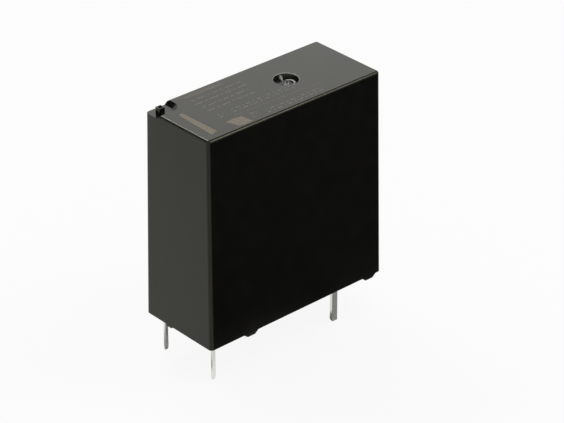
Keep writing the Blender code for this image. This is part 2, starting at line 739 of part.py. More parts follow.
def make_fixed_terminal():
    """The fixed contact's terminal, with its pin by the back wall."""
    hole = circle((0, CONTACT_Z), CONTACT_SHANK + METAL_GAP)
    flag = prism(
        "fixed_terminal", [fixed_flag_outline(), hole], FIXED_FLAG_X, FIXED_FLAG_X + CONTACT_SHEET, "X"
    )
    right = FIXED_FLAG_X + CONTACT_PIN_WIDTH
    leg = [
        (FIXED_FLAG_X, PIN_TAPER),
        (FIXED_FLAG_X + PIN_CHAMFER, 0.0),
        (right, 0.0),
        (right, FLAG_TOP_Z),
        (FIXED_FLAG_X, FLAG_TOP_Z),
    ]
    face = PIN_ROW_OFFSET - CONTACT_SHEET / 2
    join(flag, prism("fixed_leg", [leg], face, face + CONTACT_SHEET, "Y"))
    return finish(flag, "tinned_copper")


def cut_contact_slots(target, top):
    """Slots for both contact terminals through the floor and the sockets above it."""
    room = METAL_GAP
    inner = PIN_ROW_OFFSET - CONTACT_SHEET / 2 - room
    outer = COVER_WIDTH / 2
    legs = (("moving", FLAG_X, -1), ("fixed", FIXED_FLAG_X, 1))
    for name, left, side in legs:
        sides = sorted((side * inner, side * outer))
        low = (left - room, sides[0], 0)
        high = (left + CONTACT_PIN_WIDTH + room, sides[1], top)
        cut(target, box(f"{target.name}_{name}_leg", low, high))
        ends = sorted((-side * (SPRING_FOOT_WIDTH / 2 + room), side * outer))
        low = (left - room, ends[0], FLAG_Z - room)
        high = (left + CONTACT_SHEET + room, ends[1], top)
        cut(target, box(f"{target.name}_{name}_flag", low, high))


def make_base():
    """The floor plate with the barrier under the card and the sockets of the contact terminals."""
    half_x = wall_room(COVER_LENGTH, BASE_TOP_Z) - MOULD_GAP
    half_y = wall_room(COVER_WIDTH, BASE_TOP_Z) - MOULD_GAP
    base = box("base", (-half_x, -half_y, BASE_Z), (half_x, half_y, BASE_TOP_Z))
    sink = BASE_THICKNESS / 2
    barrier_x = ARM_X + MOULD_GAP
    low = (barrier_x, -half_y + MOULD_GAP, BASE_TOP_Z - sink)
    high = (barrier_x + BARRIER_THICKNESS, half_y - MOULD_GAP, CARD_LOW_Z - MOULD_GAP)
    join(base, box("barrier", low, high))
    socket_left = FLAG_X - SOCKET_MARGIN - METAL_GAP
    socket_right = FIXED_FLAG_X + CONTACT_PIN_WIDTH + SOCKET_MARGIN
    low = (socket_left, -half_y + MOULD_GAP, BASE_TOP_Z - sink)
    high = (socket_right, half_y - MOULD_GAP, BASE_TOP_Z + SOCKET_HEIGHT)
    join(base, box("sockets", low, high))
    cut_contact_slots(base, BASE_TOP_Z + FLAG_HEIGHT)
    cut_spring_room(base)
    cut_coil_terminal_slots(base, BASE_TOP_Z + MOULD_GAP)
    return finish(base, "base_black")


def cut_spring_room(base):
    """Room in the sockets for the spring's foot and the stakes through it."""
    room = METAL_GAP
    half = SPRING_FOOT_WIDTH / 2 + room
    low = (SPRING_X - SPRING_SHEET - 2 * room, -half, FLAG_Z - room)
    high = (FLAG_X, half, BASE_TOP_Z + FLAG_HEIGHT)
    cut(base, box("spring_room", low, high))


def make_sealing_resin():
    """The poured floor round the pins, a little inside the rim."""
    half_x = wall_room(COVER_LENGTH, RESIN_TOP_Z) - METAL_GAP
    half_y = wall_room(COVER_WIDTH, RESIN_TOP_Z) - METAL_GAP
    resin = box("sealing_resin", (-half_x, -half_y, RESIN_Z), (half_x, half_y, RESIN_TOP_Z))
    coil = [COIL_PIN_X - COIL_SHEET / 2, COIL_SHEET, COIL_PIN_WIDTH]
    pins = [
        ("coil_front", -1, *coil),
        ("coil_back", 1, *coil),
        ("moving", -1, FLAG_X, CONTACT_PIN_WIDTH, CONTACT_SHEET),
        ("fixed", 1, FIXED_FLAG_X, CONTACT_PIN_WIDTH, CONTACT_SHEET),
    ]
    for name, side, left, width, sheet in pins:
        low = (left - METAL_GAP, side * PIN_ROW_OFFSET - sheet / 2 - METAL_GAP, RIM_Z)
        high = (left + width + METAL_GAP, side * PIN_ROW_OFFSET + sheet / 2 + METAL_GAP, BASE_Z)
        cut(resin, box(f"resin_hole_{name}", low, high))
    return finish(resin, "resin_dark")


def make_yoke():
    """The L-shaped magnet frame: a leg under the coil and a wall up to the hinge edge."""
    left = COIL_X - POLE_RADIUS - BOBBIN_OVERHANG
    outline = [
        (left, YOKE_Z),
        *arc((HINGE_X - YOKE_BEND, YOKE_Z + YOKE_BEND), YOKE_BEND, -90, 0, 5),
        (HINGE_X, POLE_Z),
        (YOKE_X, POLE_Z),
        (YOKE_X, YOKE_LEG_Z),
        (left, YOKE_LEG_Z),
    ]
    half = ROOM_Y - YOKE_SIDE_ROOM
    yoke = prism("yoke", [outline], -half, half, "Y")
    hole_radius = CORE_STAKE_RADIUS + METAL_GAP
    hole = [(0, YOKE_THICKNESS), (hole_radius, YOKE_THICKNESS), (hole_radius, -YOKE_THICKNESS)]
    hole.append((0, -YOKE_THICKNESS))
    cut(yoke, turned("yoke_hole", hole, (COIL_X, 0, (YOKE_Z + YOKE_LEG_Z) / 2)))
    stake_out = 2 * METAL_GAP + HINGE_LEAF
    stake = [(0, stake_out), (STAKE_RADIUS, stake_out), (STAKE_RADIUS, -stake_out), (0, -stake_out)]
    for i in range(2):
        join(yoke, turned(f"yoke_stake_{i}", stake, (HINGE_X, 0, hinge_stake_z(i)), "X", SMALL_STEPS))
    return finish(yoke, "magnet_steel")


def hinge_stake_z(i):
    """Heights of the two stakes that hold the hinge spring."""
    return POLE_Z - HINGE_LEAF_FOOT + STAKE_RADIUS * 2 + i * STAKE_PITCH


def make_core():
    """The iron core, staked in the yoke, with its round pole on top."""
    profile = [
        (0, POLE_Z),
        (POLE_RADIUS - POLE_CHAMFER, POLE_Z),
        (POLE_RADIUS, POLE_Z - POLE_CHAMFER),
        (POLE_RADIUS, POLE_Z - POLE_THICKNESS),
        (CORE_RADIUS, POLE_Z - POLE_THICKNESS),
        (CORE_RADIUS, YOKE_LEG_Z + METAL_GAP),
        (CORE_STAKE_RADIUS, YOKE_LEG_Z + METAL_GAP),
        (CORE_STAKE_RADIUS, YOKE_Z),
        (0, YOKE_Z),
    ]
    return finish(turned("iron_core", profile, (COIL_X, 0, 0), steps=FINE_STEPS), "magnet_steel")


def make_bobbin():
    """The coil former: a tube, two flanges and the block that holds the coil terminals."""
    inner = CORE_RADIUS + METAL_GAP
    outer = inner + BOBBIN_TUBE
    block_top = BOBBIN_Z + TERMINAL_BLOCK_HEIGHT
    left = MOULD_GAP - wall_room(COVER_LENGTH, block_top)
    half_y = wall_room(COVER_WIDTH, block_top) - MOULD_GAP
    lower = box(
        "bobbin",
        (left, -half_y, BOBBIN_Z),
        (COIL_X + FLANGE_HALF, half_y, BOBBIN_Z + BOBBIN_FLANGE),
    )
    block_low = (left, -half_y, BOBBIN_Z + BOBBIN_FLANGE / 2)
    block_high = (left + TERMINAL_BLOCK_LENGTH, half_y, block_top)
    join(lower, box("terminal_block", block_low, block_high))
    sleeve_ends = (BOBBIN_TOP_Z - BOBBIN_FLANGE / 2, BOBBIN_Z + BOBBIN_FLANGE / 2)
    sleeve = [(0, sleeve_ends[0]), (outer, sleeve_ends[0]), (outer, sleeve_ends[1]), (0, sleeve_ends[1])]
    join(lower, turned("bobbin_tube", sleeve, (COIL_X, 0, 0), steps=FINE_STEPS))
    flange_low = (COIL_X - FLANGE_HALF, -FLANGE_HALF, BOBBIN_TOP_Z - BOBBIN_FLANGE)
    flange_high = (COIL_X + FLANGE_HALF, FLANGE_HALF, BOBBIN_TOP_Z)
    flange = box("upper_flange", flange_low, flange_high)
    round_edges(flange, BOBBIN_FLANGE / 4, 2)
    join(lower, flange)
    bore = [(0, POLE_Z), (inner, POLE_Z), (inner, YOKE_Z), (0, YOKE_Z)]
    cut(lower, turned("bobbin_bore", bore, (COIL_X, 0, 0), steps=FINE_STEPS))
    cut_coil_terminal_slots(lower, BOBBIN_Z + BOBBIN_FLANGE + TONGUE_DROP + METAL_GAP)
    return finish(lower, "bobbin_nylon")


def coil_ends():
    low = BOBBIN_Z + BOBBIN_FLANGE + METAL_GAP
    return low, BOBBIN_TOP_Z - BOBBIN_FLANGE - METAL_GAP


def make_winding():
    """The wound coil as one ring with a ridge for each band of turns."""
    low, high = coil_ends()
    inner = CORE_RADIUS + METAL_GAP + BOBBIN_TUBE + METAL_GAP
    pitch = (high - low) / COIL_RIDGES
    profile = [(inner, high)]
    for i in range(COIL_RIDGES):
        top = high - i * pitch
        profile.append((COIL_RADIUS - COIL_RIDGE_DEPTH, top))
        profile.append((COIL_RADIUS, top - pitch / 2))
    profile.append((COIL_RADIUS - COIL_RIDGE_DEPTH, low))
    profile.append((inner, low))
    return finish(turned("coil_winding", profile, (COIL_X, 0, 0), steps=FINE_STEPS), "enamel_copper")


def armature_outline():
    """The armature from the side in (x, z), with the plate lifted off the pole."""
    rise, run = sin(OPEN_ANGLE), cos(OPEN_ANGLE)
    plate = PLATE_LENGTH
    lift = ARMATURE_THICKNESS
    end = (HINGE_X - plate * run, POLE_Z + plate * rise)
    end_top = (end[0] + lift * rise, end[1] + lift * run)
    bend_top = POLE_Z + lift / run - (ARM_OUT_X - HINGE_X) * tan(OPEN_ANGLE)
    bend_low = POLE_Z - (ARM_X - HINGE_X) * tan(OPEN_ANGLE)
    bend = ARMATURE_THICKNESS / 2
    tip = CARD_Z - ARM_TIP
    return [
        end,
        (ARM_X, bend_low),
        (ARM_X, tip),
        (ARM_OUT_X, tip),
        *arc((ARM_OUT_X - bend, bend_top - bend), bend, 0, 90 - degrees(OPEN_ANGLE), 4),
        end_top,
    ]


def arm_half_width():
    """Half the width of the armature's arm, inside the card's cheeks."""
    return ROOM_Y - CARD_SIDE_ROOM - CARD_CHEEK - MOULD_GAP


def make_armature():
    """The bent armature: a plate over the pole and an arm that hangs beside the yoke."""
    half = ROOM_Y - ARMATURE_SIDE_ROOM
    armature = prism("armature", [armature_outline()], -half, half, "Y")
    arm = arm_half_width()
    top = POLE_Z - (ARM_OUT_X - HINGE_X)
    for row, side in (("front", -1), ("back", 1)):
        sides = sorted((side * arm, side * COVER_WIDTH))
        low = (HINGE_X, sides[0], CARD_Z - ARM_DROP)
        high = (ARM_OUT_X + ARMATURE_THICKNESS, sides[1], top)
        cut(armature, box(f"arm_shoulder_{row}", low, high))
        nose_left = HINGE_X - PLATE_LENGTH
        corner = [
            (nose_left - ARMATURE_NOSE, side * (half - ARMATURE_NOSE) - side * ARMATURE_NOSE),
            (nose_left + ARMATURE_NOSE, side * half),
            (nose_left + ARMATURE_NOSE, side * COVER_WIDTH),
            (nose_left - ARMATURE_NOSE, side * COVER_WIDTH),
        ]
        cut(armature, prism(f"nose_corner_{row}", [corner], POLE_Z - POLE_GAP, TOP_Z, "Z"))
    window = HINGE_LEAF_WIDTH / 2 + MOULD_GAP
    leaf_x = HINGE_X + METAL_GAP
    low = (leaf_x - HINGE_WINDOW_ROOM, -window, POLE_Z - ARM_OFFSET)
    high = (leaf_x + HINGE_LEAF + HINGE_WINDOW_ROOM, window, TOP_Z)
    cut(armature, box("leaf_window", low, high))
    return finish(armature, "magnet_steel")


def make_hinge_spring():
    """The leaf staked on the yoke, which reaches through the armature and presses its bend."""
    left = HINGE_X + METAL_GAP
    right = left + HINGE_LEAF
    low = POLE_Z - HINGE_LEAF_FOOT
    press = POLE_Z + ARMATURE_THICKNESS + METAL_GAP
    bend = HINGE_LEAF * 2
    outline = [
        (left, low),
        (right, low),
        *arc((right + bend, press - bend), bend, 180, 90, 3),
        (left + HINGE_TONGUE, press),
        (left + HINGE_TONGUE, press + HINGE_LEAF),
        *arc((right + bend, press - bend), bend + HINGE_LEAF, 90, 180, 3),
    ]
    half = HINGE_LEAF_WIDTH / 2
    leaf = prism("hinge_spring", [outline], -half, half, "Y")
    radius = STAKE_RADIUS + METAL_GAP
    reach = HINGE_LEAF * 2
    hole = [(0, reach), (radius, reach), (radius, -reach), (0, -reach)]
    for i in range(2):
        cut(leaf, turned(f"leaf_hole_{i}", hole, (right, 0, hinge_stake_z(i)), "X", SMALL_STEPS))
    return finish(leaf, "spring_bronze")


def along_card(share, nose_x):
    """A place between the card's pushed face and its nose."""
    pushed = ARM_OUT_X + METAL_GAP
    return pushed + share * (nose_x - pushed)


def card_outline(half, nose_x):
    """The card from above in (x, y): cheeks beside the arm, a body and a nose."""
    cheek = half - CARD_CHEEK
    nose = CARD_NOSE_WIDTH / 2
    upper = [
        (along_card(0, nose_x), cheek),
        (ARM_X, cheek),
        (ARM_X, half),
        (along_card(CARD_SHOULDER, nose_x), half),
        (along_card(CARD_NOSE_START, nose_x), nose),
        (nose_x, nose),
    ]
    return [(x, -y) for x, y in reversed(upper)] + upper


def make_card():
    """The insulating card that carries the armature's stroke to the spring."""
    half = ROOM_Y - CARD_SIDE_ROOM
    nose_x = SPRING_X - METAL_GAP
    high = CARD_Z + CARD_HEAD
    card = prism("card", [card_outline(half, nose_x)], CARD_LOW_Z, high, "Z")
    ledge_half = half - CARD_CHEEK / 2
    ledge_end = along_card(CARD_POCKET_START, nose_x)
    ledge_low = (ARM_X, -ledge_half, CARD_LOW_Z)
    join(card, box("card_ledge", ledge_low, (ledge_end, ledge_half, CARD_FLOOR_Z)))
    rim = half - CARD_CHEEK
    pocket_low = (along_card(CARD_POCKET_START, nose_x), -rim, high - CARD_POCKET_DEPTH)
    pocket_high = (along_card(CARD_POCKET_END, nose_x), rim, high + CARD_POCKET_DEPTH)
    cut(card, box("card_pocket", pocket_low, pocket_high))
    peg_end = CARD_PEG + METAL_GAP
    radius = CARD_PEG_RADIUS
    peg = [(0, peg_end), (radius, peg_end), (radius, -CARD_PEG_ROOT), (0, -CARD_PEG_ROOT)]
    join(card, turned("card_peg", peg, (nose_x, 0, CARD_Z), "X", steps=SMALL_STEPS))
    return finish(card, "card_white")


def lead_points(side):
    """The coil's wire end: off the winding, across to the post, and round it."""
    post_y = PIN_ROW_OFFSET - TONGUE_REACH + COIL_PIN_WIDTH / 2
    post_top = BOBBIN_Z + BOBBIN_FLANGE + WIRE_POST_HEIGHT
    wrap = hypot(COIL_SHEET, COIL_PIN_WIDTH) / 2 + WIRE_RADIUS + POST_GAP
    wrap_top = post_top - SOLDER_HEIGHT - WRAP_PITCH
    start_z = wrap_top - WIRE_WRAPS * WRAP_PITCH
    leave = COIL_RADIUS + WIRE_RADIUS + METAL_GAP
    start = (COIL_X + leave * cos(LEAD_ANGLE), leave * sin(LEAD_ANGLE), start_z)
    points = [start]
    for i in range(WIRE_WRAPS * WRAP_STEPS + 1):
        angle = -2 * pi * i / WRAP_STEPS
        z = start_z + WRAP_PITCH * i / WRAP_STEPS
        points.append((COIL_PIN_X + wrap * cos(angle), post_y + wrap * sin(angle), z))
    return [(x, side * y, z) for x, y, z in points]


def make_lead(row, side):
    lead = wire(f"coil_lead_{row}", lead_points(side), WIRE_RADIUS)
    return finish(lead, "enamel_copper")


def make_solder(row, side):
    """The solder cap on a wire post's end."""
    post_y = side * (PIN_ROW_OFFSET - TONGUE_REACH + COIL_PIN_WIDTH / 2)
    post_top = BOBBIN_Z + BOBBIN_FLANGE + WIRE_POST_HEIGHT
    bore = hypot(COIL_SHEET, COIL_PIN_WIDTH) / 2 + POST_GAP
    outer = bore + SOLDER_THICKNESS
    foot = post_top - SOLDER_HEIGHT
    roof = post_top + METAL_GAP
    shoulder = outer - SOLDER_BULGE
    profile = [
        (0, roof + SOLDER_THICKNESS),
        (bore - SOLDER_BULGE, roof + SOLDER_THICKNESS - SOLDER_BULGE),
        (shoulder, roof - SOLDER_THICKNESS),
        (outer, (foot + roof) / 2),
        (shoulder, foot),
        (bore, foot),
        (bore, roof),
        (0, roof),
    ]
    return finish(turned(f"solder_{row}", profile, (COIL_PIN_X, post_y, 0), steps=SMALL_STEPS), "solder")


def build():
    make_cover()
    make_base()
    make_sealing_resin()
    make_yoke()
    make_core()
    make_bobbin()
    make_winding()
    make_hinge_spring()
    for row, side in (("front", -1), ("back", 1)):
        make_coil_terminal(row, side)
        make_lead(row, side)
        make_solder(row, side)
    make_moving_terminal()
    make_fixed_terminal()
    make_fixed_contact()
    hang_on("armature_hinge", (HINGE_X, 0, POLE_Z), [make_armature()])
    hang_on("card_guide", (ARM_X, 0, CARD_Z), [make_card()])
    moving = [make_contact_spring(), make_moving_contact()]
    hang_on("spring_root", (SPRING_MID_X, 0, FLAG_TOP_Z), moving)


build()
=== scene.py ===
import json
from math import cos, exp, hypot, pi, radians, sin

import bmesh
import bpy
from mathutils import Matrix, Quaternion, Vector, noise


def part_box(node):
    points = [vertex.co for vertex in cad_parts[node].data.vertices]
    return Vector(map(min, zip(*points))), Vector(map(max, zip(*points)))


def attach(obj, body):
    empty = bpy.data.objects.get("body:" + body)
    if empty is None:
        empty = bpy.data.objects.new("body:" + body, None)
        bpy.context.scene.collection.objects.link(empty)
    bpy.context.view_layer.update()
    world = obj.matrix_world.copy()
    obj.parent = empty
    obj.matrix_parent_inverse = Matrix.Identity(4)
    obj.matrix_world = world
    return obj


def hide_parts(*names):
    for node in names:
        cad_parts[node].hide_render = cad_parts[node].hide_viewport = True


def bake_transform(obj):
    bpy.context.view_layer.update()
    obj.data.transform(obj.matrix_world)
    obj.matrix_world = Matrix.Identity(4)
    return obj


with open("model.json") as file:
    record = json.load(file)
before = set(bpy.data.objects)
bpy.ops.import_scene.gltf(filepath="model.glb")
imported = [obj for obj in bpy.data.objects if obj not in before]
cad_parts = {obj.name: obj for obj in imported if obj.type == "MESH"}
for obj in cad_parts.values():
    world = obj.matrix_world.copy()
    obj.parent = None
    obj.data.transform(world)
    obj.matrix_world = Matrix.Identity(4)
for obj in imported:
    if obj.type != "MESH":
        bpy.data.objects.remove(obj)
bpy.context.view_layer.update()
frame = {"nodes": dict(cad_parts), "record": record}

NODES = frame["nodes"]
SLOT_OF = {entry["node"]: entry["material_slot"] for entry in frame["record"]["subparts"]}
MM = 0.001
WHITE = (1.0, 1.0, 1.0, 1.0)

# The photograph's camera
YAW = radians(41.961)  # from +Y towards +X
PITCH = radians(29.820)  # below the horizon
LENS = 160.02  # millimetres
SENSOR = 36.0  # millimetres
CAMERA_PLACE = (-150.456 * MM, -169.990 * MM, 144.410 * MM)

# The cover's top and the gate well in it, with levels from the pin tips
TOP_Z = 28.6 * MM
GATE_FLOOR_Z = 28.1 * MM
GATE_CENTRE = (3.15 * MM, 0.22 * MM)


def place_camera():
    right = Vector((cos(YAW), -sin(YAW), 0.0))
    ahead = Vector((cos(PITCH) * sin(YAW), cos(PITCH) * cos(YAW), -sin(PITCH)))
    up = right.cross(ahead)
    data = bpy.data.cameras.new("camera")
    data.sensor_fit = "HORIZONTAL"
    data.sensor_width = SENSOR
    data.lens = LENS
    data.clip_start = 0.01
    data.clip_end = 20.0
    data.dof.use_dof = False
    camera = bpy.data.objects.new("camera", data)
    bpy.context.scene.collection.objects.link(camera)
    turn = Matrix((right, up, -ahead)).transposed().to_4x4()
    camera.matrix_world = Matrix.Translation(Vector(CAMERA_PLACE)) @ turn
    bpy.context.scene.camera = camera


place_camera()
bpy.context.scene.view_settings.view_transform = "Standard"


# Lights

TARGET = Vector((0.0, 0.0, 15.0 * MM))
ROOM_STRENGTH = 0.35

# Name, azimuth, elevation, distance, width, height, strength and roll, in degrees and metres
SOFTBOXES = [
    ("sheen_back_right", 48.0, 28.5, 0.9, 0.9, 0.46, 0.7, 0.0),
    ("strip_back_left", 79.0, 49.0, 0.8, 0.5, 0.12, 10.0, 15.0),
    ("strip_front", -40.0, 41.0, 0.9, 0.1, 0.5, 9.5, -37.0),
    ("overhead", -60.0, 76.0, 1.2, 0.9, 0.9, 0.5, 0.0),
]


def facing(azimuth, elevation, distance, roll):
    """A place round the relay that looks at it.

    Azimuth 0 is +X and 90 is +Y; roll turns it about its own axis.
    """
    a, e = radians(azimuth), radians(elevation)
    out = Vector((cos(e) * cos(a), cos(e) * sin(a), sin(e)))
    spin = Quaternion((0.0, 0.0, 1.0), radians(roll))
    turn = (out.to_track_quat("Z", "Y") @ spin).to_matrix().to_4x4()
    return Matrix.Translation(TARGET + out * distance) @ turn


def softbox(name, azimuth, elevation, distance, width, height, strength, roll):
    """An area light that faces the relay, with a power of pi times its strength and area."""
    data = bpy.data.lights.new(name, "AREA")
    data.shape = "RECTANGLE"
    data.size = width
    data.size_y = height
    data.energy = strength * pi * width * height
    light = bpy.data.objects.new(name, data)
    bpy.context.scene.collection.objects.link(light)
    light.matrix_world = facing(azimuth, elevation, distance, roll)
    light.visible_camera = False


def background(tree, strength):
    node = tree.nodes.new("ShaderNodeBackground")
    node.inputs["Color"].default_value = WHITE
    node.inputs["Strength"].default_value = strength
    return node.outputs[0]


def seen_directly(tree):
    """1 for rays from the camera, off a gloss or through glass, and 0 for the rest."""
    path = tree.nodes.new("ShaderNodeLightPath")
    value = path.outputs["Is Camera Ray"]
    for kind in ("Is Glossy Ray", "Is Transmission Ray"):
        larger = tree.nodes.new("ShaderNodeMath")
        larger.operation = "MAXIMUM"
        tree.links.new(value, larger.inputs[0])
        tree.links.new(path.outputs[kind], larger.inputs[1])
        value = larger.outputs[0]
    return value


def light_world():
    """A dim even world for light, which shows as plain white where it is seen directly."""
    world = bpy.data.worlds.new("studio")
    bpy.context.scene.world = world
    world.use_nodes = True
    tree = world.node_tree
    tree.nodes.clear()
    mix = tree.nodes.new("ShaderNodeMixShader")
    out = tree.nodes.new("ShaderNodeOutputWorld")
    tree.links.new(seen_directly(tree), mix.inputs["Fac"])
    tree.links.new(background(tree, ROOM_STRENGTH), mix.inputs[1])
    tree.links.new(background(tree, 1.0), mix.inputs[2])
    tree.links.new(mix.outputs[0], out.inputs["Surface"])


for row in SOFTBOXES:
    softbox(*row)
light_world()


# Materials

NOISE_RANGE = (0.3, 0.7)  # most of a noise's values lie in it


class Surface:
    """A material made of a Principled shader and procedural nodes in object space."""

    def __init__(self, name, colour, roughness, metallic=0.0, ior=1.45, **sockets):
        self.material = bpy.data.materials.new(name)
        self.material.use_nodes = True
        self.material.diffuse_color = (*colour, 1.0)
        self.tree = self.material.node_tree
        self.shader = self.tree.nodes["Principled BSDF"]
        self.colour = colour
        self.roughness = roughness
        self.shader.inputs["Base Color"].default_value = (*colour, 1.0)
        self.shader.inputs["Roughness"].default_value = roughness
        self.shader.inputs["Metallic"].default_value = metallic
        self.shader.inputs["IOR"].default_value = ior
        for socket, value in sockets.items():
            self.shader.inputs[socket.replace("_", " ")].default_value = value
        self.place = self.tree.nodes.new("ShaderNodeTexCoord").outputs["Object"]

    def stretched(self, scale):
        """Object coordinates scaled along each axis."""
        mapping = self.tree.nodes.new("ShaderNodeMapping")
        mapping.inputs["Scale"].default_value = scale
        self.tree.links.new(self.place, mapping.inputs["Vector"])
        return mapping.outputs["Vector"]

    def noise(self, grain, detail=3.0, stretch=(1.0, 1.0, 1.0), roughness=0.5):
        """Noise whose grain is about that many metres."""
        node = self.tree.nodes.new("ShaderNodeTexNoise")
        node.inputs["Scale"].default_value = 1.0
        node.inputs["Detail"].default_value = detail
        node.inputs["Roughness"].default_value = roughness
        scale = [share / grain for share in stretch]
        self.tree.links.new(self.stretched(scale), node.inputs["Vector"])
        return node.outputs["Fac"]

    def cells(self, grain):
        """Distance from the middles of cells about that many metres apart."""
        node = self.tree.nodes.new("ShaderNodeTexVoronoi")
        node.inputs["Scale"].default_value = 1.0
        self.tree.links.new(self.stretched([1.0 / grain] * 3), node.inputs["Vector"])
        return node.outputs["Distance"]

    def remap(self, value, low, high, to_low, to_high):
        """Maps a range of the value to another range, and clamps it there."""
        node =self.tree.nodes.new("ShaderNodeMapRange")
        node.inputs["From Min"].default_value = low
        node.inputs["From Max"].default_value = high
        node.inputs["To Min"].default_value = to_low
        node.inputs["To Max"].default_value = to_high
        self.tree.links.new(value, node.inputs["Value"])
        return node.outputs["Result"]

    def vary_roughness(self, value, spread):
        """Moves the roughness by up to the spread, down or up, with the value."""
        low, high = self.roughness - spread, self.roughness + spread
        wanted = self.remap(value, *NOISE_RANGE, low, high)
        self.tree.links.new(wanted, self.shader.inputs["Roughness"])

    def vary_colour(self, second, value, low, high):
        """Mixes the colour towards a second one as the value goes from low to high."""
        mix = self.tree.nodes.new("ShaderNodeMix")
        mix.data_type = "RGBA"
        mix.inputs["A"].default_value = (*self.colour, 1.0)
        mix.inputs["B"].default_value = (*second, 1.0)
        self.tree.links.new(self.remap(value, low, high, 0.0, 1.0), mix.inputs["Factor"])
        self.tree.links.new(mix.outputs["Result"], self.shader.inputs["Base Color"])

    def bump(self, value, depth):
        """Adds relief of a depth in metres."""
        node = self.tree.nodes.new("ShaderNodeBump")
        node.inputs["Strength"].default_value = 1.0
        node.inputs["Distance"].default_value = depth
        self.tree.links.new(value, node.inputs["Height"])
        self.tree.links.new(node.outputs["Normal"], self.shader.inputs["Normal"])


def moulded(name, colour, second, roughness, ior, grain, relief, **sockets):
    """Moulded plastic with an eroded grain and slow changes of sheen."""
    surface = Surface(name, colour, roughness, ior=ior, **sockets)
    surface.vary_roughness(surface.noise(4.0 * MM, detail=2.0), spread=0.03)
    surface.vary_colour(second, surface.noise(1.6 * MM, detail=4.0), low=0.35, high=0.7)
    surface.bump(surface.noise(grain, detail=4.0, roughness=0.6), depth=relief)
    return surface


def brushed(name, colour, second, roughness, stretch, grain, relief):
    """Plated or rolled metal with fine lines along the axes that have a small share in stretch."""
    surface = Surface(name, colour, roughness, metallic=1.0)
    lines = surface.noise(grain, detail=3.0, stretch=stretch)
    surface.vary_roughness(lines, spread=0.07)
    surface.vary_colour(second, surface.noise(0.9 * MM, detail=4.0), low=0.35, high=0.7)
    surface.bump(lines, depth=relief)
    return surface


def resin():
    surface = Surface("resin_dark", (0.03, 0.026, 0.022), roughness=0.16, ior=1.5)
    mottle = surface.noise(1.2 * MM, detail=5.0)
    surface.vary_colour((0.045, 0.038, 0.03), mottle, low=0.4, high=0.7)
    surface.vary_roughness(surface.noise(2.5 * MM), spread=0.05)
    dimples = surface.remap(surface.cells(0.7 * MM), low=0.0, high=0.16, to_low=0.0, to_high=1.0)
    surface.bump(dimples, depth=0.015 * MM)
    return surface


def copper():
    surface = Surface("enamel_copper", (0.5, 0.17, 0.06), roughness=0.3, metallic=1.0,
                      Coat_Weight=0.6, Coat_Roughness=0.12)
    mottle = surface.noise(0.8 * MM, detail=3.0)
    surface.vary_colour((0.36, 0.1, 0.03), mottle, low=0.35, high=0.7)
    surface.vary_roughness(surface.noise(0.3 * MM), spread=0.06)
    return surface


def silver():
    surface = Surface("contact_silver", (0.8, 0.79, 0.76), roughness=0.24, metallic=1.0)
    tarnish = surface.noise(0.5 * MM, detail=4.0)
    surface.vary_colour((0.62, 0.59, 0.53), tarnish, low=0.45, high=0.75)
    surface.vary_roughness(surface.noise(0.25 * MM), spread=0.08)
    surface.bump(surface.noise(0.06 * MM), depth=0.0015 * MM)
    return surface


def solder():
    surface = Surface("solder", (0.58, 0.58, 0.57), roughness=0.22, metallic=1.0)
    surface.vary_colour((0.46, 0.46, 0.45), surface.noise(0.3 * MM), low=0.4, high=0.7)
    surface.vary_roughness(surface.noise(0.2 * MM), spread=0.08)
    surface.bump(surface.noise(0.25 * MM, detail=2.0), depth=0.01 * MM)
    return surface


def dry(name, colour, second):
    """Plastic with a dry skin, as where it is marked, torn or worn; also pale painted highlights
    in the gate well.
    """
    surface = Surface(name, colour, roughness=0.6, ior=1.35)
    surface.vary_colour(second, surface.noise(0.16 * MM, detail=5.0), low=0.35, high=0.65)
    surface.bump(surface.noise(0.05 * MM), depth=0.003 * MM)
    return surface


FINISH = {
    "cover_black": moulded(
        "cover_black", (0.0045, 0.0045, 0.0043), (0.0065, 0.0063, 0.006), roughness=0.22,
        ior=1.35, grain=0.07 * MM, relief=0.0008 * MM, Specular_Tint=(1.0, 0.98, 0.72, 1.0)),
    "base_black": moulded(
        "base_black", (0.014, 0.014, 0.014), (0.02, 0.02, 0.02), roughness=0.42,
        ior=1.4, grain=0.12 * MM, relief=0.004 * MM),
    "resin_dark": resin(),
    "bobbin_nylon": moulded(
        "bobbin_nylon", (0.62, 0.6, 0.52), (0.56, 0.53, 0.44), roughness=0.42,
        ior=1.5, grain=0.15 * MM, relief=0.003 * MM,
        Subsurface_Weight=0.15, Subsurface_Scale=0.4 * MM),
    "card_white": moulded(
        "card_white", (0.72, 0.7, 0.63), (0.66, 0.63, 0.55), roughness=0.38,
        ior=1.5, grain=0.12 * MM, relief=0.003 * MM),
    "enamel_copper": copper(),
    "magnet_steel": brushed(
        "magnet_steel", (0.5, 0.49, 0.46), (0.42, 0.41, 0.385), roughness=0.34,
        stretch=(1.0, 0.12, 0.12), grain=0.05 * MM, relief=0.002 * MM),
    "spring_bronze": brushed(
        "spring_bronze", (0.62, 0.4, 0.24), (0.52, 0.32, 0.18), roughness=0.28,
        stretch=(1.0, 1.0, 0.08), grain=0.04 * MM, relief=0.0015 * MM),
    "contact_silver": silver(),
    "tinned_copper": brushed(
        "tinned_copper", (0.78, 0.79, 0.74), (0.66, 0.67, 0.62), roughness=0.3,
        stretch=(1.0, 1.0, 0.2), grain=0.08 * MM, relief=0.002 * MM),
    "solder": solder(),
}
MARK_PALE = dry("mark_pale", (0.235, 0.2, 0.15), (0.175, 0.15, 0.115))
MARK_DIM = dry("mark_dim", (0.21, 0.195, 0.17), (0.155, 0.145, 0.125))
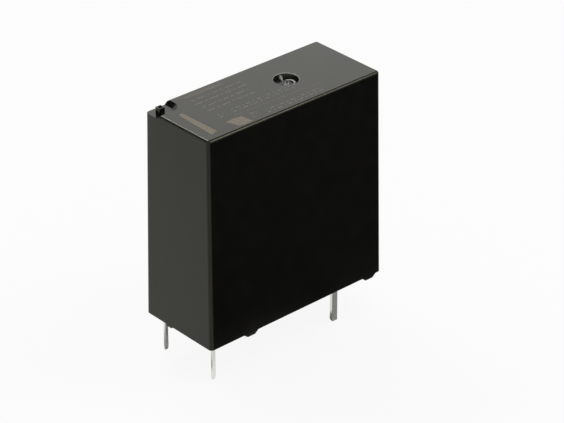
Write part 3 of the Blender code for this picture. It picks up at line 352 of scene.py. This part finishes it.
# Pale colour that stands in for highlights in the gate well: painted highlight
HIGHLIGHT_PALE = dry("painted_highlight_pale", (0.42, 0.42, 0.4), (0.32, 0.32, 0.3))
MARK_FAINT = dry("mark_faint", (0.15, 0.135, 0.11), (0.12, 0.11, 0.09))
# Pale torn plastic, whose colour also stands in for highlights on the gate stub: partly painted
# highlight
TORN_AND_HIGHLIGHT = dry("torn_plastic_and_highlight", (0.82, 0.81, 0.78), (0.6, 0.59, 0.56))
WORN = dry("worn_plastic", (0.09, 0.088, 0.084), (0.03, 0.029, 0.028))


# Mesh helpers

WELD = 0.0002 * MM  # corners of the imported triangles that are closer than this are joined
CUT_SLACK = 0.0001 * MM  # corners that are closer than this to a cut lie on it


def paint(piece, surface):
    piece.data.materials.clear()
    piece.data.materials.append(surface.material)


def new_object(name, shape, surface):
    """Makes a mesh object from a bmesh."""
    mesh = bpy.data.meshes.new(name)
    shape.to_mesh(mesh)
    shape.free()
    piece = bpy.data.objects.new(name, mesh)
    bpy.context.scene.collection.objects.link(piece)
    paint(piece, surface)
    return piece


def add_piece(name, shape, surface):
    """Makes a mesh object from a bmesh and rides it on the case."""
    piece = new_object(name, shape, surface)
    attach(piece, "case")
    return piece


def joined_copy(node_name):
    """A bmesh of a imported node, with its triangles joined."""
    shape = bmesh.new()
    shape.from_mesh(NODES[node_name].data)
    bmesh.ops.remove_doubles(shape, verts=shape.verts, dist=WELD)
    return shape


def cut_level(shape, level):
    """Cuts the faces that cross a level in two, and keeps both sides."""
    everything = shape.verts[:] + shape.edges[:] + shape.faces[:]
    bmesh.ops.bisect_plane(shape, geom=everything, plane_co=(0, 0, level), plane_no=(0, 0, 1),
                           dist=CUT_SLACK)


def circle_angles(steps):
    return [2 * pi * i / steps for i in range(steps)]


def join_loops(shape, before, after):
    """Faces between two closed loops with as many points."""
    for k in range(len(before)):
        shape.faces.new((before[k - 1], after[k - 1], after[k], before[k]))


# Carried-over CAD nodes

SHARP_ANGLE = radians(32.0)
BROKEN_EDGE = 0.035 * MM
BROKEN_FROM = radians(40.0)


def shading_group():
    """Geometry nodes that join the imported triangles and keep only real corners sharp."""
    group = bpy.data.node_groups.new("join_and_shade", "GeometryNodeTree")
    for direction in ("INPUT", "OUTPUT"):
        group.interface.new_socket("Geometry", in_out=direction, socket_type="NodeSocketGeometry")
    make = group.nodes.new
    link = group.links.new
    start = make("NodeGroupInput")
    end = make("NodeGroupOutput")
    merge = make("GeometryNodeMergeByDistance")
    merge.inputs["Distance"].default_value = WELD
    faces = make("GeometryNodeSetShadeSmooth")
    faces.domain = "FACE"
    edges = make("GeometryNodeSetShadeSmooth")
    edges.domain = "EDGE"
    angle = make("GeometryNodeInputMeshEdgeAngle")
    soft = make("FunctionNodeCompare")
    soft.data_type = "FLOAT"
    soft.operation = "LESS_THAN"
    soft.inputs["B"].default_value = SHARP_ANGLE
    link(start.outputs[0], merge.inputs["Geometry"])
    link(merge.outputs["Geometry"], faces.inputs["Geometry"])
    link(faces.outputs["Geometry"], edges.inputs["Geometry"])
    link(angle.outputs["Unsigned Angle"], soft.inputs["A"])
    link(soft.outputs["Result"], edges.inputs["Shade Smooth"])
    link(edges.outputs["Geometry"], end.inputs[0])
    return group


SHADING = shading_group()


def shade(piece, broken_edges):
    """Shades flat faces flat and bends smooth; broken edges get a small bevel."""
    packed_normals = piece.data.attributes.get("custom_normal")
    if packed_normals:
        piece.data.attributes.remove(packed_normals)
    piece.modifiers.new("join and shade", "NODES").node_group = SHADING
    if broken_edges:
        edges = piece.modifiers.new("broken edges", "BEVEL")
        edges.width = BROKEN_EDGE
        edges.segments = 2
        edges.limit_method = "ANGLE"
        edges.angle_limit = BROKEN_FROM
    normals = piece.modifiers.new("flat faces", "WEIGHTED_NORMAL")
    normals.keep_sharp = True
    normals.weight = 100


for node_name, node in NODES.items():
    paint(node, FINISH[SLOT_OF[node_name]])
    shade(node, broken_edges=SLOT_OF[node_name] == "tinned_copper")


# Contact spring, cut across where it bends from its clamped foot

BEND_START = (5.825 * MM, 0.0, 10.6 * MM)
BEND_END = (5.825 * MM, 0.0, 16.0 * MM)
BEND_CUTS = 12


def bending_leaf():
    """The contact spring with cuts across it along the stretch where it bends."""
    shape = joined_copy("contact_spring")
    for i in range(BEND_CUTS + 1):
        cut_level(shape, BEND_START[2] + (BEND_END[2] - BEND_START[2]) * i / BEND_CUTS)
    leaf = new_object("contact_spring_leaf", shape, FINISH["spring_bronze"])
    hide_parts("contact_spring")
    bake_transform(leaf)


bending_leaf()


# Card, whose nose slopes back towards its lower edge to leave room for the bent leaf

NOSE_X = 5.65 * MM
NOSE_BREAK_Z = 17.6 * MM
NOSE_RELIEF = 0.13 * MM
NOSE_SLACK = 0.01 * MM


def relieved_card():
    """The card with the lower part of its nose sloped back, so that the tilted leaf clears it."""
    shape = joined_copy("card")
    cut_level(shape, NOSE_BREAK_Z)
    floor_z = min(vert.co.z for vert in shape.verts)
    for vert in shape.verts:
        if vert.co.x > NOSE_X - NOSE_SLACK and vert.co.z < floor_z + NOSE_SLACK:
            vert.co.x -= NOSE_RELIEF
    piece = new_object("card_relieved", shape, FINISH["card_white"])
    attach(piece, "card")
    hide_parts("card")


relieved_card()


# Winding

WIRE = 0.16 * MM  # about its diameter, rounded so that whole turns fill the height
WIRE_STEPS = 4  # profile points to each turn
WINDING_BORE = 2.58 * MM  # radius
COIL_SIDES = 72


def wire_profile(inner, outer, low_z, high_z):
    """Radius and height along half a section, with a round ridge for each turn."""
    turns = round((high_z - low_z) / WIRE)
    pitch = (high_z - low_z) / turns
    profile = [(inner, low_z)]
    for i in range(turns):
        for j in range(WIRE_STEPS + (i == turns - 1)):
            across = 2.0 * j / WIRE_STEPS - 1.0
            swell = (1.0 - across * across) ** 0.5
            height = low_z + pitch * (i + j / WIRE_STEPS)
            profile.append((outer - pitch / 2 * (1.0 - swell), height))
    profile.append((inner, high_z))
    return profile


def wound_wire():
    """The winding with a round ridge for each turn of its outer layer."""
    low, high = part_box("coil_winding")
    x, y = (low[0] + high[0]) / 2, (low[1] + high[1]) / 2
    profile = wire_profile(WINDING_BORE, (high[0] - low[0]) / 2, low[2], high[2])
    shape = bmesh.new()
    columns = []
    for a in circle_angles(COIL_SIDES):
        points = [(x + r * cos(a), y + r * sin(a), z) for r, z in profile]
        columns.append([shape.verts.new(point) for point in points])
    for k in range(COIL_SIDES):
        join_loops(shape, columns[k - 1], columns[k])
    bmesh.ops.recalc_face_normals(shape, faces=shape.faces)
    piece = add_piece("coil_wire", shape, FINISH["enamel_copper"])
    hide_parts("coil_winding")


wound_wire()


# Skin of the poured resin

RESIN_GRID = 0.16 * MM
RESIN_BELOW = 0.02 * MM  # the skin's lower face under the solid's
RESIN_ABOVE = 0.06 * MM  # the skin's upper face, inside the solid
RESIN_WAVE = 0.012 * MM
RESIN_WAVE_LENGTH = 1.8 * MM
RESIN_CLIMB = 0.2 * MM
RESIN_SPREAD = 0.22 * MM
PINS = ("coil_terminal_front", "coil_terminal_back", "moving_terminal", "fixed_terminal")
PIN_BAND_Z = 1.5 * MM  # below this a terminal is only its pin


def pin_box(node_name):
    """The pin's extent in x and y."""
    below = [vert.co for vert in NODES[node_name].data.vertices if vert.co.z < PIN_BAND_Z]
    xs = [point.x for point in below]
    ys = [point.y for point in below]
    return min(xs), max(xs), min(ys), max(ys)


def resin_level(x, y, low, high, pins):
    """The skin's lower face, which hangs lowest along the walls and round the pins."""
    away = [min(x - low[0], high[0] - x, y - low[1], high[1] - y)]
    for x0, x1, y0, y1 in pins:
        away.append(hypot(max(x0 - x, 0.0, x - x1), max(y0 - y, 0.0, y - y1)))
    wave = RESIN_WAVE * noise.noise(Vector((x, y, 0.0)) / RESIN_WAVE_LENGTH)
    return low[2] - RESIN_BELOW + wave - RESIN_CLIMB * exp(-min(away) / RESIN_SPREAD)


def resin_skin():
    """A thin skin on the resin's lower face, with a wetted rim."""
    low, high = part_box("sealing_resin")
    pins = [pin_box(pin) for pin in PINS]
    columns = round((high[0] - low[0]) / RESIN_GRID)
    rows = round((high[1] - low[1]) / RESIN_GRID)
    xs = [low[0] + (high[0] - low[0]) * i / columns for i in range(columns + 1)]
    ys = [low[1] + (high[1] - low[1]) * j / rows for j in range(rows + 1)]
    top = low[2] + RESIN_ABOVE
    shape = bmesh.new()
    under = [[shape.verts.new((x, y, resin_level(x, y, low, high, pins))) for y in ys] for x in xs]
    over = [[shape.verts.new((x, y, top)) for y in ys] for x in xs]
    for i in range(columns):
        for j in range(rows):
            for grid in (under, over):
                corners = (grid[i][j], grid[i + 1][j], grid[i + 1][j + 1], grid[i][j + 1])
                shape.faces.new(corners)
    for i in range(columns):
        for j in (0, rows):
            shape.faces.new((under[i][j], under[i + 1][j], over[i + 1][j], over[i][j]))
    for j in range(rows):
        for i in (0, columns):
            shape.faces.new((under[i][j], under[i][j + 1], over[i][j + 1], over[i][j]))
    bmesh.ops.recalc_face_normals(shape, faces=shape.faces)
    for face in shape.faces:
        face.smooth = True
    add_piece("resin_skin", shape, FINISH["resin_dark"])


resin_skin()


# Generic marks on the top, in millimetres

PAD_HEIGHT = 0.005
PAD_SUNK = 0.01
PILL_STEPS = 4
STROKE_GAP = 0.3
STROKE_SHIFT = 0.12  # how much later each row starts than the one before
SHORTEST_STROKE = 0.1
STROKES = [0.9, 0.45, 1.1, 0.3, 0.75, 0.35, 1.2, 0.6]
SMALL_STROKES = [0.5, 0.28, 0.62, 0.2]
END_BAR = [(-10.15, 1.49), (-10.35, -3.86), (-9.46, -3.59), (-9.59, 1.54)]
PATCH = [(-7.67, -2.82), (-7.34, -3.5), (-7.13, -4.26), (-6.32, -4.42), (-5.4, -4.36),
         (-5.63, -2.89), (-6.45, -2.66)]
RULE = [(-6.0, -2.27), (5.3, -2.73), (5.3, -2.67), (-6.0, -2.21)]

# Name, first and last x, levels in y, thickness and stroke widths
STROKE_ROWS = [
    ("mark_row_large_1", -7.4, -0.5, (2.0, 2.85), 0.15, STROKES),
    ("mark_row_large_2", -7.4, -1.1, (0.15, 1.05), 0.15, STROKES),
    ("mark_row_small", -5.6, 2.7, (-1.7, -1.2), 0.14, SMALL_STROKES),
    ("mark_row_edge", -3.1, 4.8, (-4.1, -3.6), 0.16, SMALL_STROKES),
    ("mark_small_left", -7.4, -6.5, (-1.7, -1.2), 0.14, SMALL_STROKES),
    ("mark_small_ruled", -4.9, -3.9, (-3.9, -3.5, -3.1), 0.12, SMALL_STROKES),
]


def pads(name, outlines, surface):
    """Flat-topped pads on the cover's top, one for each outline, as one piece."""
    shape = bmesh.new()
    low, high = TOP_Z - PAD_SUNK * MM, TOP_Z + PAD_HEIGHT * MM
    for outline in outlines:
        lower = [shape.verts.new((x * MM, y * MM, low)) for x, y in outline]
        upper = [shape.verts.new((x * MM, y * MM, high)) for x, y in outline]
        shape.faces.new(upper)
        shape.faces.new(lower[::-1])
        for i, vert in enumerate(lower):
            shape.faces.new((lower[i - 1], vert, upper[i], upper[i - 1]))
    add_piece(name, shape, surface)


def pill(x0, x1, y0, y1, corner=0.45):
    """A rounded bar's outline, anticlockwise; corner is a share of the shorter side."""
    radius = corner * min(x1 - x0, y1 - y0)
    points = []
    for cx, cy, start in (
        (x1 - radius, y0 + radius, -90),
        (x1 - radius, y1 - radius, 0),
        (x0 + radius, y1 - radius, 90),
        (x0 + radius, y0 + radius, 180),
    ):
        for i in range(PILL_STEPS + 1):
            a = radians(start + 90.0 * i / PILL_STEPS)
            points.append((cx + radius * cos(a), cy + radius * sin(a)))
    return points


def dashes(x0, x1, y0, y1, widths):
    """A row of bars with those widths in turn."""
    row, x, i = [], x0, 0
    while x < x1 - SHORTEST_STROKE:
        end = min(x + widths[i % len(widths)], x1)
        row.append(pill(x, end, y0, y1))
        x = end + STROKE_GAP
        i += 1
    return row


def stroke_rows(x0, x1, levels, thickness, widths):
    """Rows of thin strokes, one on each level, that start a stroke apart."""
    rows = []
    for i, level in enumerate(levels):
        turned = widths[i:] + widths[:i]
        rows += dashes(x0 + STROKE_SHIFT * i, x1, level, level + thickness, turned)
    return rows


pads("mark_end_bar", [END_BAR], MARK_PALE)
pads("mark_patch", [PATCH], MARK_PALE)
pads("mark_block", [pill(-7.4, -2.4, 3.66, 4.1, corner=0.2)], MARK_FAINT)
for name, x0, x1, levels, thickness, widths in STROKE_ROWS:
    pads(name, stroke_rows(x0, x1, levels, thickness, widths), MARK_DIM)
pads("mark_rule", [RULE], MARK_DIM)


# Torn plastic in the gate well, with painted highlights on it

GATE_RIM = 1.365 * MM  # radius of the well at the cover's top
SPOKES = 64  # points on a circle round the gate
BEAD_SIDES = 8  # points on a circle round a bead or a thread
BEAD_UNEVEN = 0.25  # share by which a bead's thickness changes
BEAD_WAVES = 6.0

# The torn stub, which is flat in its core, and the low skirt round it
SCAR_RADIUS = 0.62 * MM
SCAR_RINGS = 14
SCAR_GRAIN = 0.11 * MM
SCAR_SUNK = 0.02 * MM  # depth of its foot under the well's floor
CORE_RADIUS = 0.16 * MM
CORE_HEIGHT = 0.29 * MM
STUB_RADIUS = 0.2 * MM
STUB_HEIGHT = 0.31 * MM
STUB_SLOPE = 0.24 * MM  # length over which the stub runs out
STUB_UNEVEN = 0.12
SKIRT = 0.02 * MM

# Torn flakes, pale partly from stress-whitening and partly as painted highlight: direction in
# degrees, then distance, height and foot's radius in millimetres
SHARDS = [(216, 0.6, 0.46, 0.15), (252, 0.6, 0.44, 0.16), (236, 0.45, 0.25, 0.1)]
SHARD_LEAN = radians(14.0)
SHARD_RAISED = 0.02 * MM  # height of a flake's foot over the well's floor

# A pale thread, a painted highlight for the gleam on the wall, from the stub to the well's wall,
# in millimetres and degrees
# Distance, direction, height over the floor and radius
THREAD = [
    (0.6, 82, 0.02, 0.05),
    (0.82, 78, 0.03, 0.12),
    (1.02, 77, 0.05, 0.18),
    (1.18, 76, 0.13, 0.21),
    (1.29, 76, 0.25, 0.18),
    (1.33, 76, 0.38, 0.08),
]


def gate_point(radius, angle, level):
    return (GATE_CENTRE[0] + radius * cos(angle), GATE_CENTRE[1] + radius * sin(angle), level)


def scar_height(radius, angle):
    """Height over the well's floor: a torn stub that runs out into a low skirt."""
    wave = noise.noise(Vector((radius * cos(angle), radius * sin(angle), 0.0)) / SCAR_GRAIN)
    slope = max(0.0, 1.0 - max(0.0, radius - STUB_RADIUS) / STUB_SLOPE)
    if radius < CORE_RADIUS:
        return CORE_HEIGHT
    return SKIRT * (1.0 + wave) + STUB_HEIGHT * slope * (1.0 + STUB_UNEVEN * wave)


def gate_scar():
    """A closed mound on the well's floor where the feed was torn off."""
    shape = bmesh.new()
    rings = []
    for i in range(1, SCAR_RINGS + 1):
        radius = SCAR_RADIUS * i / SCAR_RINGS
        points = [gate_point(radius, a, GATE_FLOOR_Z + scar_height(radius, a))
                  for a in circle_angles(SPOKES)]
        rings.append([shape.verts.new(point) for point in points])
    centre = shape.verts.new((*GATE_CENTRE, GATE_FLOOR_Z + scar_height(0.0, 0.0)))
    foot_z = GATE_FLOOR_Z - SCAR_SUNK
    foot = [shape.verts.new((vert.co.x, vert.co.y, foot_z)) for vert in rings[-1]]
    for j in range(SPOKES):
        shape.faces.new((centre, rings[0][j - 1], rings[0][j]))
        for inner, outer in zip(rings, rings[1:] + [foot]):
            shape.faces.new((inner[j - 1], outer[j - 1], outer[j], inner[j]))
    shape.faces.new(foot[::-1])
    add_piece("gate_scar", shape, WORN)


def gate_shards_and_highlights():
    """Torn flakes that stand beside the stub and lean in towards it, pale partly as torn plastic
    and partly as painted highlight.
    """
    shape = bmesh.new()
    for degrees, away, tall, foot in SHARDS:
        a = radians(degrees)
        x, y, z = gate_point(away * MM, a, GATE_FLOOR_Z + SHARD_RAISED)
        lean = Matrix.Rotation(SHARD_LEAN, 4, (sin(a), -cos(a), 0.0))
        place = Matrix.Translation((x, y, z + tall * MM / 2)) @ lean
        bmesh.ops.create_cone(shape, cap_ends=True, segments=6, radius1=foot * MM,
                              radius2=foot * MM / 4, depth=tall * MM, matrix=place)
    add_piece("gate_shards_and_highlights", shape, TORN_AND_HIGHLIGHT)


def gate_thread_painted_gleam():
    """A pale thread that lies on the well's floor and up its wall; its pale colour is a painted
    highlight where the wall gleams.
    """
    shape = bmesh.new()
    points = [Vector(gate_point(away * MM, radians(degrees), GATE_FLOOR_Z + level * MM))
              for away, degrees, level, _ in THREAD]
    loops = []
    for i, (_, degrees, _, thick) in enumerate(THREAD):
        ahead = points[min(i + 1, len(points) - 1)] - points[max(i - 1, 0)]
        across = Vector((-sin(radians(degrees)), cos(radians(degrees)), 0.0))
        over = across.cross(ahead).normalized()
        spokes = [across * cos(a) + over * sin(a) for a in circle_angles(BEAD_SIDES)]
        loops.append([shape.verts.new(points[i] + thick * MM * spoke) for spoke in spokes])
    for before, after in zip(loops, loops[1:]):
        join_loops(shape, before, after)
    shape.faces.new(loops[0])
    shape.faces.new(loops[-1])
    bmesh.ops.recalc_face_normals(shape, faces=shape.faces)
    add_piece("gate_thread_painted_gleam", shape, HIGHLIGHT_PALE)


def gate_ring(name, radius, level, bead, surface, thinnest, direction, shift=(0.0, 0.0)):
    """A bead round the gate, thickest in one direction, in degrees.

    On the other side it is thinnest, by a share. The shift moves the whole ring in x and y.
    """
    shape = bmesh.new()
    loops = []
    for angle in circle_angles(SPOKES):
        swell = cos((angle - radians(direction)) / 2) ** 4
        wave = noise.noise(Vector((cos(angle), sin(angle), 0.0)) * BEAD_WAVES)
        thick = bead * (thinnest + (1.0 - thinnest) * swell) * (1.0 + BEAD_UNEVEN * wave)
        loop = []
        for turn in circle_angles(BEAD_SIDES):
            x, y, z = gate_point(radius + thick * cos(turn), angle, level + thick * sin(turn))
            loop.append(shape.verts.new((x + shift[0], y + shift[1], z)))
        loops.append(loop)
    for j in range(SPOKES):
        join_loops(shape, loops[j - 1], loops[j])
    bmesh.ops.recalc_face_normals(shape, faces=shape.faces)
    add_piece(name, shape, surface)


gate_scar()
gate_shards_and_highlights()
gate_thread_painted_gleam()
# The burr's pale colour is a painted highlight: the bright arc round the stub
gate_ring("gate_burr_painted_highlight", radius=0.62 * MM, level=GATE_FLOOR_Z + 0.1 * MM, bead=0.085 * MM,
          surface=TORN_AND_HIGHLIGHT, thinnest=0.2, direction=10.0, shift=(0.2 * MM, -0.18 * MM))
# The rim bead's pale colour is a painted highlight: the bright line along the well's far rim,
# thickest on the far side
gate_ring("gate_rim_painted_highlight", radius=GATE_RIM, level=TOP_Z, bead=0.075 * MM,
          surface=HIGHLIGHT_PALE, thinnest=0.08, direction=40.0)


# Floor, and the cards and flags that are seen only in reflections

FLOOR_HALF = 3000.0  # millimetres
FLOOR_WHITE = 0.9  # share of plain white in the floor where it is seen directly
LOW = Matrix.Translation((0.0, 0.0, 0.03 * MM))
HIGHER = Matrix.Translation((0.0, 0.0, 0.05 * MM))

# All these are painted dark reflections: the front card darkens the front face, the right card the
# blade pin, the card under the relay is a painted shadow in the back-left pin, and the flags
# darken the cover's edges and notch
# Name, edges (first and last x, first and last y) in millimetres, albedo and place
CARDS = [
    ("card_front", (-9.0, 150.0, -150.0, -10.0), 0.04, HIGHER),
    ("card_right_pin", (4.5, 40.0, -10.0, -2.5), 0.55, LOW),
    ("card_left_pin", (-13.0, -4.0, -2.2, 7.0), 0.65, LOW),
    ("flag_left", (-350.0, 350.0, -300.0, 300.0), 0.02, facing(128.0, 36.0, 1.0, 0.0)),
    ("flag_top", (-320.0, 320.0, -150.0, 150.0), 0.02, facing(24.0, 50.5, 1.0, -30.0)),
]


def stage_sheet(name, edges, surface, place):
    """A flat rectangle that isn't part of the relay."""
    x0, x1, y0, y1 = [edge * MM for edge in edges]
    mesh = bpy.data.meshes.new(name)
    corners = [(x0, y0, 0.0), (x1, y0, 0.0), (x1, y1, 0.0), (x0, y1, 0.0)]
    mesh.from_pydata(corners, [], [range(4)])
    sheet = bpy.data.objects.new(name, mesh)
    bpy.context.scene.collection.objects.link(sheet)
    sheet.matrix_world = place
    mesh.materials.append(surface.material)
    return sheet


def reflected_card(name, edges, albedo, place):
    """A card that is seen only in reflections, as photographers use; it casts no shadow and lights
    nothing, so it is a painted dark reflection.
    """
    grey = (albedo, albedo, albedo)
    surface = Surface(name, grey, roughness=0.9, Specular_IOR_Level=0.0)
    sheet = stage_sheet(name, edges, surface, place)
    sheet.visible_camera = False
    sheet.visible_diffuse = False
    sheet.visible_shadow = False


def whiten(surface, share):
    """Mixes plain white into a surface for the rays that see it directly."""
    tree = surface.tree
    white = tree.nodes.new("ShaderNodeEmission")
    white.inputs["Color"].default_value = WHITE
    white.inputs["Strength"].default_value = 1.0
    amount = tree.nodes.new("ShaderNodeMath")
    amount.operation = "MULTIPLY"
    amount.inputs[1].default_value = share
    mix = tree.nodes.new("ShaderNodeMixShader")
    out = tree.nodes["Material Output"]
    tree.links.new(seen_directly(tree), amount.inputs[0])
    tree.links.new(amount.outputs[0], mix.inputs["Fac"])
    tree.links.new(surface.shader.outputs[0], mix.inputs[1])
    tree.links.new(white.outputs[0], mix.inputs[2])
    tree.links.new(mix.outputs[0], out.inputs["Surface"])


def lay_floor():
    surface = Surface("floor_pale", (0.94, 0.94, 0.94), roughness=0.9, Specular_IOR_Level=0.0)
    whiten(surface, FLOOR_WHITE)
    edges = (-FLOOR_HALF, FLOOR_HALF, -FLOOR_HALF, FLOOR_HALF)
    stage_sheet("floor", edges, surface, Matrix())


lay_floor()
for row in CARDS:
    reflected_card(*row)
